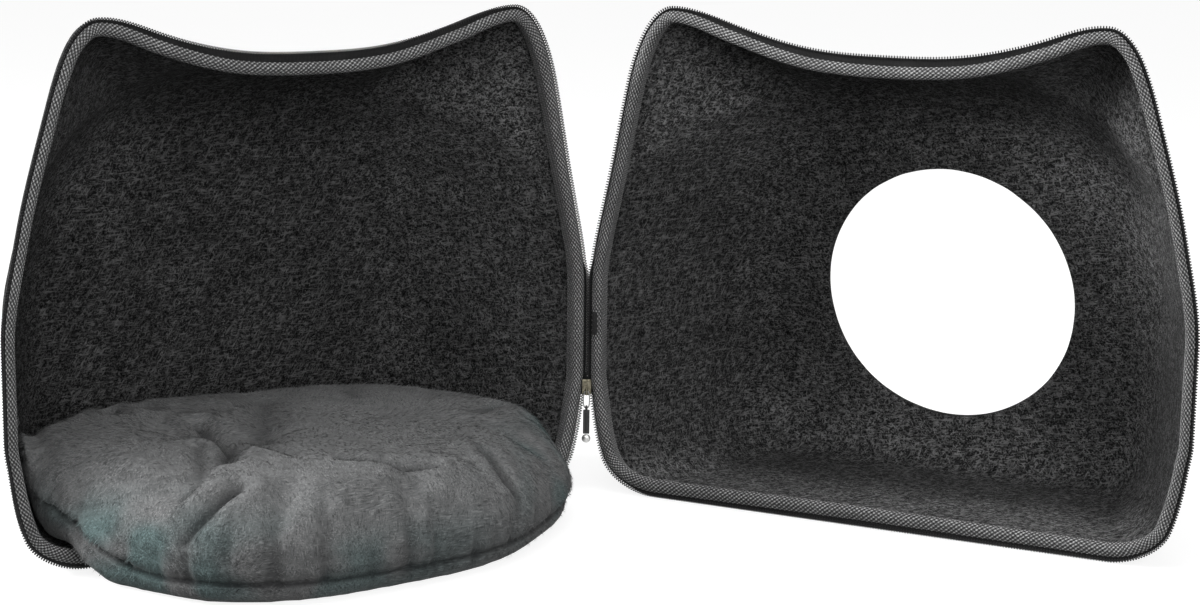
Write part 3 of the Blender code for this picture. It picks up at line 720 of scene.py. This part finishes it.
# ------------------------------
# Zip coils. Each is one nylon thread wound into teeth along the outermost edge of its half; the
# two coils lock into each other over the closed stretch of the spine.
TEETH = 744
TOOTH_STEPS = 8
COIL_WIRE = 0.00035
LOCKED = 0.0010
TOOTH_SET = 0.85
COIL_WIDE = 0.0027
COIL_DEEP = 0.0012


def coil_finish():
    """Black nylon that catches light on its rounded teeth."""
    nylon, shader = start_finish("black nylon coil", 0.50, 0.30)
    where = object_place(nylon)
    scuffs = noise_of(nylon, where, 900.0, 3.0, 0.6)
    wire(nylon, blend_colour(nylon, span(nylon, scuffs, 0.4, 0.75), (0.008, 0.008, 0.0085, 1),
                             (0.030, 0.030, 0.031, 1)), shader, "Base Color")
    wire(nylon, span(nylon, scuffs, 0.3, 0.7, 0.40, 0.62), shader, "Roughness")
    return nylon


coil_colour = coil_finish()


def zip_coil(name, spine_side, node, start):
    """Winds one coil: a flattened helix round a line just inside the half's edge."""
    stations, length = even_rim(spine_side, TEETH * TOOTH_STEPS)
    line = bpy.data.curves.new(name, "CURVE")
    line.dimensions = "3D"
    line.bevel_depth = COIL_WIRE
    line.bevel_resolution = 1
    thread = line.splines.new("POLY")
    thread.points.add(len(stations) - 1)
    thread.use_cyclic_u = True
    half_wide = COIL_WIDE / 2 - COIL_WIRE
    half_deep = COIL_DEEP - COIL_WIRE
    tooth_pitch = length / TEETH
    for number, (point, inward, columns) in enumerate(stations):
        turn = 2 * math.pi * (number / TOOTH_STEPS + start)
        back_step = TOOTH_SET * math.sin(turn) * tooth_pitch / (2 * math.pi)
        onward = Vector((inward.y, -inward.x))
        inset = COIL_WIDE / 2 - half_wide * math.cos(turn) - LOCKED * columns[6]
        flat = point + inward * inset - onward * back_step
        thread.points[number].co = (flat.x, half_deep * math.sin(turn), flat.y, 1.0)
        thread.points[number].radius = 1 + 0.15 * columns[6]
    wound = bpy.data.objects.new(name, line)
    bm = bmesh.new()
    bm.from_mesh(wound.to_mesh())
    wound.to_mesh_clear()
    bpy.data.objects.remove(wound)
    bmesh.ops.remove_doubles(bm, verts=bm.verts, dist=1e-7)
    bmesh.ops.recalc_face_normals(bm, faces=bm.faces)
    return finished_piece(name, bm, spine_side, coil_colour, node, math.radians(80))


back_coil = zip_coil("back_coil_teeth", 1, "back_zip_coil", 0.0)
front_coil = zip_coil("front_coil_teeth", -1, "front_zip_coil", 0.5)

# ------------------------------
# End patch. A short dark bartack of close zigzag stitches over the binding beside the spine,
# which finishes the end of the zip.
PATCH_PLACE = Vector((-0.2030, -0.0031, 0.118))
PATCH_WIDE = 0.0042
PATCH_TALL = 0.0160
PATCH_DEEP = 0.0006
PATCH_STITCHES = 22
STITCH_LEAN = 0.09
STITCH_TALL = 0.00078


def thread_finish():
    """Black sewing thread with a soft twist."""
    thread, shader = start_finish("black sewing thread", 0.7, 0.3, 0.15)
    where = object_place(thread)
    twist = noise_of(thread, where, 1500.0, 2.0, 0.5)
    wire(thread, blend_colour(thread, span(thread, twist, 0.35, 0.7), (0.006, 0.006, 0.0062, 1),
                              (0.030, 0.030, 0.031, 1)), shader, "Base Color")
    raise_bump(thread, shader, twist, 0.4, 0.0002)
    return thread


thread_colour = thread_finish()
patch_bm = bmesh.new()
bmesh.ops.create_cube(patch_bm, size=1.0)
bmesh.ops.scale(patch_bm, vec=(PATCH_WIDE - 0.0004, PATCH_DEEP, PATCH_TALL), verts=patch_bm.verts)
bmesh.ops.bevel(patch_bm, geom=patch_bm.edges, offset=0.0002, segments=2, profile=0.5,
                affect="EDGES", material=-1)
for stitch in range(PATCH_STITCHES):
    lean = STITCH_LEAN if stitch % 2 else -STITCH_LEAN
    height = PATCH_TALL * ((stitch + 0.5) / PATCH_STITCHES - 0.5)
    bmesh.ops.create_uvsphere(
        patch_bm, u_segments=8, v_segments=6, radius=0.5,
        matrix=Matrix.Translation((0.0, -PATCH_DEEP / 2, height)) @ Matrix.Rotation(lean, 4, "Y")
        @ Matrix.Diagonal((PATCH_WIDE, PATCH_DEEP, STITCH_TALL, 1.0)))
bmesh.ops.translate(patch_bm, vec=PATCH_PLACE, verts=patch_bm.verts)
finished_piece("zip_end_bartack", patch_bm, -1, thread_colour, "zip_end_patch")

# ------------------------------
# Slider, link and pull. A dark cast slider at the foot of the closed stretch; a bright wire link
# in its eye; a flat black pull with a raised rib; a round bright end.


def metal_finish(name, dark, light):
    """Cast or drawn metal with fine scratches and duller hollows."""
    metal, shader = start_finish(name, 0.34)
    shader.inputs["Metallic"].default_value = 1.0
    where = object_place(metal)
    scratches = noise_of(metal, where, 1.0, 3.0, 0.6, size=(5200, 900, 5200), turn=(0.3, 0.5, 0.2))
    dull = noise_of(metal, where, 700.0, 3.0, 0.6)
    wire(metal, blend_colour(metal, span(metal, dull, 0.35, 0.7), dark, light), shader,
         "Base Color")
    wire(metal, span(metal, scratches, 0.3, 0.7, 0.26, 0.48), shader, "Roughness")
    raise_bump(metal, shader, scratches, 0.15, 0.0001)
    return metal


def dressed_node(name, material):
    """Gives a CAD node that keeps its shape its finished material."""
    node = frame["nodes"][name]
    node.data.materials.clear()
    node.data.materials.append(material)


slider_colour = metal_finish("aged slider metal", (0.07, 0.063, 0.045, 1), (0.26, 0.24, 0.18, 1))
bright_colour = metal_finish("bright nickel", (0.45, 0.45, 0.44, 1), (0.72, 0.72, 0.71, 1))
pull_colour, pull_shader = start_finish("black moulded pull", 0.42)
pull_where = object_place(pull_colour)
pull_grain = noise_of(pull_colour, pull_where, 1600.0, 3.0, 0.6)
wire(pull_colour, blend_colour(pull_colour, span(pull_colour, pull_grain, 0.35, 0.7),
                               (0.008, 0.008, 0.008, 1), (0.030, 0.030, 0.030, 1)),
     pull_shader, "Base Color")
raise_bump(pull_colour, pull_shader, pull_grain, 0.25, 0.0001)
dressed_node("zip_slider", slider_colour)
dressed_node("zip_link", bright_colour)
dressed_node("zip_pull", pull_colour)
dressed_node("zip_pull_end", bright_colour)

# ------------------------------
# Cushion. A filled oval pillow with a brushed grey plush cover, cut as a top and a bottom panel
# and sewn together low on the side; it sags, creases and gathers along its seam.
CUSHION_MIDDLE = (0.0, -0.006)
# height of the seam at each 20 degrees, from +x round by the shell's back
CUSHION_SEAM = (
    0.025, 0.029, 0.0219, 0.0221, 0.0225, 0.0229, 0.0234, 0.029, 0.046,
    0.037, 0.016, 0.0142, 0.0132, 0.0128, 0.0126, 0.013, 0.0138, 0.016,
)
SEAM_REACH = 0.0020
SEAM_SUNK = 0.0058
VOXEL = 0.0042
CLOTH_CAP = 0.005
CLOTH = {
    "quality": 6, "mass": 0.25, "tension_stiffness": 18, "compression_stiffness": 18,
    "bending_stiffness": 0.6, "use_pressure": True, "uniform_pressure_force": 4.0,
}
# creases in the top: points across and behind the rim plane, half width, deep
CREASES = (
    (((-0.062, 0.042), (-0.066, 0.012), (-0.072, -0.02), (-0.092, -0.056)), 0.0056, 0.0078),
    (((-0.09, -0.015), (-0.102, -0.045), (-0.118, -0.072), (-0.13, -0.074)), 0.005, 0.0042),
    (((-0.166, -0.1), (-0.146, -0.098), (-0.124, -0.101), (-0.104, -0.098)), 0.0048, 0.008),
    (((0.002, 0.078), (-0.018, 0.04), (-0.05, -0.02)), 0.011, 0.0045),
    (((-0.026, -0.086), (-0.004, -0.096), (0.022, -0.106)), 0.0042, 0.006),
    (((0.074, -0.084), (0.072, -0.108), (0.08, -0.128)), 0.004, 0.007),
    (((-0.1, 0.096), (-0.104, 0.078)), 0.005, 0.006),
    (((-0.076, 0.102), (-0.08, 0.084)), 0.005, 0.006),
    (((0.07, 0.088), (0.062, 0.06)), 0.008, 0.0035),
    (((0.14, 0.01), (0.118, -0.006)), 0.006, 0.005),
    (((-0.072, -0.02), (-0.058, -0.04), (-0.05, -0.062)), 0.0046, 0.0026),
)
# gathers in the side: angle, half width, deep, how far up and how far down from the seam
GATHERS = (
    (185, 0.005, 0.004, 0.03, 0.01), (199, 0.0035, 0.003, 0.016, 0.008),
    (214, 0.0045, 0.005, 0.026, 0.006), (223, 0.0035, 0.003, 0.036, 0.004),
    (232, 0.0048, 0.0058, 0.032, 0.006), (243, 0.004, 0.0046, 0.04, 0.005),
    (254, 0.0035, 0.0028, 0.02, 0.006), (265, 0.0048, 0.0056, 0.028, 0.007),
    (273, 0.004, 0.005, 0.042, 0.006), (286, 0.0035, 0.0042, 0.014, 0.012),
    (299, 0.0032, 0.003, 0.018, 0.007), (311, 0.0035, 0.0036, 0.022, 0.007),
    (322, 0.0035, 0.0044, 0.016, 0.012), (336, 0.004, 0.0034, 0.022, 0.008),
    (351, 0.004, 0.0036, 0.024, 0.008),
)
PUCKERS = 74
# how dark the painted shade is along the seam, in the gathers and in the creases
SEAM_SHADE, GATHER_SHADE, CREASE_SHADE = 1.15, 100, 125


def seam_height(angle):
    """Gives the seam's height at an angle: a closed spline through the table."""
    count = len(CUSHION_SEAM)
    place = (angle % 360) * count / 360
    index = int(place)
    t = place - index
    before, near, far, after = (CUSHION_SEAM[(index + step) % count] for step in (-1, 0, 1, 2))
    return (near + (far - near) * eased(t, 0, 1) + (far - before) / 2 * t * (1 - t) ** 2
            - (after - near) / 2 * t * t * (1 - t))


def plush_finish():
    """Brushed plush: a mid-grey pile whose lie turns in patches, with painted shade in its creases,
    gathers and seam, and a painted blue-green sheen at the ends.
    """
    plush, shader = start_finish("grey brushed plush", 0.95, 0.08, 0.12)
    where = object_place(plush)
    stroke = noted(plush, "stroke")
    painted_shade = noted(plush, "painted_shade")
    lie = noise_of(plush, where, 17.0, 3.0, 0.6)
    nap = noise_of(plush, where, 110.0, 3.0, 0.6)
    hairs = noise_of(plush, where, 1.0, 2.0, 0.55, size=(170, 1000, 1000), turn=(0.2, 0.1, -0.75))
    crossed = noise_of(plush, where, 1.0, 2.0, 0.55, size=(1000, 170, 1000), turn=(0.1, 0.3, -0.35))
    ground = blend_colour(plush, span(plush, lie, 0.33, 0.67),
                          (0.112, 0.115, 0.116, 1), (0.156, 0.159, 0.160, 1))
    napped = blend_colour(plush, span(plush, nap, 0.34, 0.68, 0.0, 0.55), ground,
                          (0.204, 0.206, 0.207, 1))
    combed = blend_colour(plush, span(plush, lie, 0.44, 0.56), hairs, crossed)
    darker = blend_colour(plush, span(plush, combed, 0.46, 0.30, 0.0, 0.75), napped,
                          (0.044, 0.045, 0.046, 1))
    haired = blend_colour(plush, span(plush, combed, 0.54, 0.70, 0.0, 0.75), darker,
                          (0.295, 0.298, 0.299, 1))
    pale = blend_colour(plush, span(plush, stroke, 0.62, 1.0, 0.0, 0.8), haired,
                        (0.275, 0.278, 0.280, 1))
    stroked = blend_colour(plush, span(plush, stroke, 0.38, 0.0, 0.0, 0.8), pale,
                           (0.040, 0.041, 0.042, 1))
    # painted shade: seam, gathers and creases are darkened towards near black
    shaded = blend_colour(plush, span(plush, painted_shade, 0.0, 1.0, 0.0, 0.82), stroked,
                          (0.012, 0.012, 0.013, 1))
    # painted sheen: a darker blue-green tint multiplied in at both ends and the low front
    sheen_tinted = blend_colour(plush, noted(plush, "painted_sheen_tint"), shaded, (0.62, 0.87, 0.86, 1), "MULTIPLY")
    wire(plush, sheen_tinted, shader, "Base Color")
    raise_bump(plush, shader, reckon(plush, "ADD", nap, combed), 0.5, 0.0012)
    return plush


def apply_modifiers(piece):
    """Replaces a piece's mesh by what its modifiers make of it."""
    graph = bpy.context.evaluated_depsgraph_get()
    made = bpy.data.meshes.new_from_object(piece.evaluated_get(graph))
    piece.modifiers.clear()
    piece.data = made


def cushion_start():
    """Copies the cushion's solid as an even mesh of voxels."""
    bm = bmesh.new()
    bm.from_mesh(frame["nodes"]["cushion"].data)
    bmesh.ops.remove_doubles(bm, verts=bm.verts, dist=1e-5)
    mesh = bpy.data.meshes.new("plush_cushion")
    bm.to_mesh(mesh)
    bm.free()
    pillow = bpy.data.objects.new("plush_cushion", mesh)
    shown.link(pillow)
    even = pillow.modifiers.new("even skin", "REMESH")
    even.mode = "VOXEL"
    even.voxel_size = VOXEL
    apply_modifiers(pillow)
    return pillow


def swell(pillow):
    """Fills the cover by cloth simulation, and lets no point move further than the cap."""
    before = [corner.co.copy() for corner in pillow.data.vertices]
    cloth = pillow.modifiers.new("filling", "CLOTH")
    for name, value in CLOTH.items():
        setattr(cloth.settings, name, value)
    cloth.settings.effector_weights.gravity = 0.0
    cloth.collision_settings.use_collision = False
    scene = bpy.context.scene
    for step in range(1, 21):
        scene.frame_set(step)
    apply_modifiers(pillow)
    into_half = BACK_HALF.inverted()
    for corner, start in zip(pillow.data.vertices, before):
        move = corner.co - start
        inside = min(max((into_half @ start).y / 0.02 + 0.5, 0.0), 1.0)
        low = min(max((start.z - 0.016) / 0.03, 0.0), 1.0)
        move.x *= 1 - 0.75 * inside
        move.y *= 1 - 0.75 * inside
        cap = 0.0003 + (CLOTH_CAP - 0.0003) * low
        if move.length > cap:
            move = move.normalized() * cap
        corner.co = start + move
    pillow.data.update()
    scene.frame_set(1)


def line_distance(spots, line):
    """Gives each plan point's distance to a line of points."""
    nearest = np.full(len(spots), 1.0)
    for here, there in zip(line, line[1:]):
        here = np.array(here)
        along = np.array(there) - here
        share = np.clip((spots - here) @ along / (along @ along), 0.0, 1.0)
        gap = np.linalg.norm(spots - here - share[:, None] * along, axis=1)
        nearest = np.minimum(nearest, gap)
    return nearest


def read_all(things, what, kind=np.float64):
    """Reads one fact of three numbers from every corner or triangle of a mesh."""
    values = np.empty(len(things) * 3, dtype=kind)
    things.foreach_get(what, values)
    return values.reshape(-1, 3)


def skin_facts(mesh):
    """Gives each corner's place and normal in the half, its angle round the cushion and radius."""
    into_half = np.array(BACK_HALF.inverted())
    places = read_all(mesh.vertices, "co") @ into_half[:3, :3].T + into_half[:3, 3]
    normals = read_all(mesh.vertex_normals, "vector") @ into_half[:3, :3].T
    out = places[:, :2] - np.array(CUSHION_MIDDLE)
    return places, normals, np.degrees(np.arctan2(out[:, 1], out[:, 0])) % 360, np.hypot(*out.T)


def near_angle(angles, angle):
    """Gives signed degrees from an angle, for every corner."""
    return (angles - angle + 180) % 360 - 180


def sew_and_crease(pillow):
    """Presses the creases into the top, and draws the side in along its seam with its gathers;
    gives back the painted shade that darkens them.
    """
    places, normals, angles, radii = skin_facts(pillow.data)
    seam_table = np.array([seam_height(angle) for angle in range(361)])
    above = places[:, 2] - np.interp(angles, np.arange(361), seam_table)
    side = eased(np.hypot(normals[:, 0], normals[:, 1]), 0.35, 0.85)
    upward = eased(normals[:, 2], 0.10, 0.60)
    seam = np.exp(-(above / SEAM_REACH) ** 2) * side
    sink = SEAM_SUNK * seam - 0.0016 * np.exp(-((above - 0.0070) / 0.0040) ** 2) * side
    # painted shade along the seam; the gathers and creases add theirs below
    painted_shade = SEAM_SHADE * seam
    draw = random.Random(11)
    puckers = [(360 * (n + draw.random() * 0.7) / PUCKERS, 0.0016 + 0.0010 * draw.random(),
                0.0010 + 0.0014 * draw.random(), 0.006 + 0.010 * draw.random(),
                0.004 + 0.004 * draw.random()) for n in range(PUCKERS)]
    for angle, half_wide, deep, up, down in [*GATHERS, *puckers]:
        round_by = np.radians(near_angle(angles, angle)) * radii
        reach = np.where(above > 0, above / up, -above / down)
        core = np.exp(-(round_by / half_wide) ** 2)
        fade = np.exp(-reach**2) * np.maximum(side, 0.3 * upward)
        sink += deep * (core - 0.30 * np.exp(-(round_by / (2.4 * half_wide)) ** 2)) * fade
        painted_shade += GATHER_SHADE * deep * core * fade
    drop = np.zeros(len(places))
    for line, half_wide, deep in CREASES:
        gap = line_distance(places[:, :2], line) / half_wide
        core = np.exp(-gap**1.5)
        drop += deep * (core - 0.22 * np.exp(-((gap - 2.6) / 1.2) ** 2)) * upward
        painted_shade += CREASE_SHADE * deep * np.exp(-(gap / 0.8) ** 2) * upward
    grain = np.array([
        0.0030 * noise.noise(Vector(spot) * 22.0) + 0.0012 * noise.noise(Vector(spot) * 60.0)
        for spot in places
    ])
    lifted = eased(places[:, 2], 0.004, 0.030)
    moved = places - normals * ((sink + np.abs(grain) * 0.6 + grain * 0.4) * lifted)[:, None]
    moved[:, 2] -= drop
    out_of_half = np.array(BACK_HALF)
    world = moved @ out_of_half[:3, :3].T + out_of_half[:3, 3]
    pillow.data.vertices.foreach_set("co", world.ravel())
    pillow.data.update()
    return np.clip(painted_shade, 0.0, 1.0)


def tint_plush(mesh, strokes, painted_shade):
    """Writes the pile's strokes, the painted shade, and a painted blue-green sheen at both ends and
    the low front gathers.
    """
    places, _, angles, _ = skin_facts(mesh)
    height = places[:, 2]
    # painted sheen: where the blue-green tint goes, at both ends and low at the front
    left_end = np.exp(-(near_angle(angles, 202) / 30) ** 2) * (1 - eased(height, 0.034, 0.066))
    right_end = np.exp(-(near_angle(angles, 352) / 36) ** 2) * (1 - eased(height, 0.048, 0.068))
    low = 0.6 * np.exp(-(near_angle(angles, 250) / 38) ** 2) * (1 - eased(height, 0.022, 0.050))
    patch = np.array([0.5 + noise.noise(Vector(spot) * 34.0) for spot in places])
    ends = np.maximum(np.maximum(left_end, right_end), low)
    painted_sheen_tint = np.clip(ends * eased(patch, 0.15, 0.80) * 1.2, 0.0, 1.0)
    for name, values in (("painted_sheen_tint", painted_sheen_tint), ("stroke", strokes), ("painted_shade", painted_shade)):
        layer = mesh.attributes.new(name, "FLOAT", "POINT")
        layer.data.foreach_set("value", values.astype(np.float32))


plush_colour = plush_finish()
cushion = cushion_start()
swell(cushion)
finer = cushion.modifiers.new("finer skin", "SUBSURF")
finer.levels = 1
finer.render_levels = 1
apply_modifiers(cushion)
cushion_painted_shade = sew_and_crease(cushion)
tint_plush(cushion.data, np.full(len(cushion_painted_shade), 0.45), cushion_painted_shade)
cushion.data.materials.clear()
cushion.data.materials.append(plush_colour)
cushion.data.shade_smooth()
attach(cushion, "root")
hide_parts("cushion")

# ------------------------------
# Pile. The plush cover's short brushed hairs stand in tufts that lie outwards and down, turned
# here and there by stroking; each tuft is one slim closed spike rooted in the cover.
TUFTS = 47000
PILE_SEED = 23
TUFT_LONG = (0.0036, 0.0070)
TUFT_WIDE = (0.00026, 0.00046)
TUFT_ROOT = 0.0006
TUFT_LEAN = (0.10, 0.34)
SHOWN_ABOVE = -0.35
HOLLOW_BALD = 0.85


def pile_of(pillow):
    """Scatters the tufts evenly over the cover and combs them."""
    tuft_bm = bmesh.new()
    bmesh.ops.create_cone(tuft_bm, cap_ends=True, segments=3, radius1=1.0, radius2=0.0, depth=1.0)
    bmesh.ops.remove_doubles(tuft_bm, verts=tuft_bm.verts, dist=1e-5)
    bmesh.ops.triangulate(tuft_bm, faces=tuft_bm.faces)
    bmesh.ops.recalc_face_normals(tuft_bm, faces=tuft_bm.faces)
    corners = np.array([corner.co[:] for corner in tuft_bm.verts])
    faces = np.array([[corner.index for corner in face.verts] for face in tuft_bm.faces])
    tuft_bm.free()
    corners[:, 2] += 0.5
    mesh = pillow.data
    mesh.calc_loop_triangles()
    triples = read_all(mesh.loop_triangles, "vertices", np.int64)
    normals = read_all(mesh.vertex_normals, "vector")
    sides = read_all(mesh.vertices, "co")[triples]
    crossed = np.cross(sides[:, 1] - sides[:, 0], sides[:, 2] - sides[:, 0])
    area = np.linalg.norm(crossed, axis=1)
    area[normals[triples].mean(axis=1)[:, 2] < SHOWN_ABOVE] = 0.0
    area[sides[:, :, 2].mean(axis=1) < 0.004] = 0.0
    area *= 1.0 - HOLLOW_BALD * cushion_painted_shade[triples].mean(axis=1)
    draw = np.random.default_rng(PILE_SEED)
    chosen = draw.choice(len(triples), size=TUFTS, p=area / area.sum())
    mix = draw.random((TUFTS, 2))
    flip = mix.sum(axis=1) > 1
    mix[flip] = 1 - mix[flip]
    weights = np.column_stack((1 - mix.sum(axis=1), mix))
    roots = (sides[chosen] * weights[:, :, None]).sum(axis=1)
    up = (normals[triples[chosen]] * weights[:, :, None]).sum(axis=1)
    up /= np.linalg.norm(up, axis=1)[:, None]
    middle = np.array((BACK_HALF @ Vector((0.02, 0.03, 0.0)))[:])
    comb = roots - middle
    comb[:, 2] = 0.0
    comb /= np.linalg.norm(comb, axis=1)[:, None]
    comb[:, 2] = -0.55
    noise.seed_set(PILE_SEED)
    swirl = np.array([noise.noise_vector(Vector(root) * 20.0)[:] for root in roots])
    comb += 1.3 * swirl + 0.35 * (draw.random((TUFTS, 3)) - 0.5)
    comb -= (comb * up).sum(axis=1)[:, None] * up
    comb /= np.linalg.norm(comb, axis=1)[:, None]
    lean = draw.uniform(*TUFT_LEAN, TUFTS)[:, None]
    axis = comb * np.cos(lean) + up * np.sin(lean)
    across = np.cross(axis, up)
    across /= np.linalg.norm(across, axis=1)[:, None]
    thick = np.cross(axis, across)
    long = draw.uniform(*TUFT_LONG, TUFTS)[:, None, None]
    wide = draw.uniform(*TUFT_WIDE, TUFTS)[:, None, None]
    points = ((roots - TUFT_ROOT * up)[:, None, :]
              + across[:, None, :] * corners[None, :, 0:1] * wide
              + thick[:, None, :] * corners[None, :, 1:2] * wide * 0.6
              + axis[:, None, :] * corners[None, :, 2:3] * long)
    shift = np.arange(TUFTS)[:, None, None] * len(corners)
    woven = bpy.data.meshes.new("plush_pile")
    woven.from_pydata(points.reshape(-1, 3), [], (faces[None] + shift).reshape(-1, 3).tolist())
    # painted shade at each tuft's root, copied from the cover
    deep = (cushion_painted_shade[triples[chosen]] * weights).sum(axis=1)
    tint_plush(woven, np.repeat(draw.random(TUFTS), len(corners)), np.repeat(deep, len(corners)))
    return woven


pile_mesh = pile_of(cushion)
pile_mesh.materials.append(plush_colour)
pile = bpy.data.objects.new("plush_pile", pile_mesh)
shown.link(pile)
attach(pile, "root")
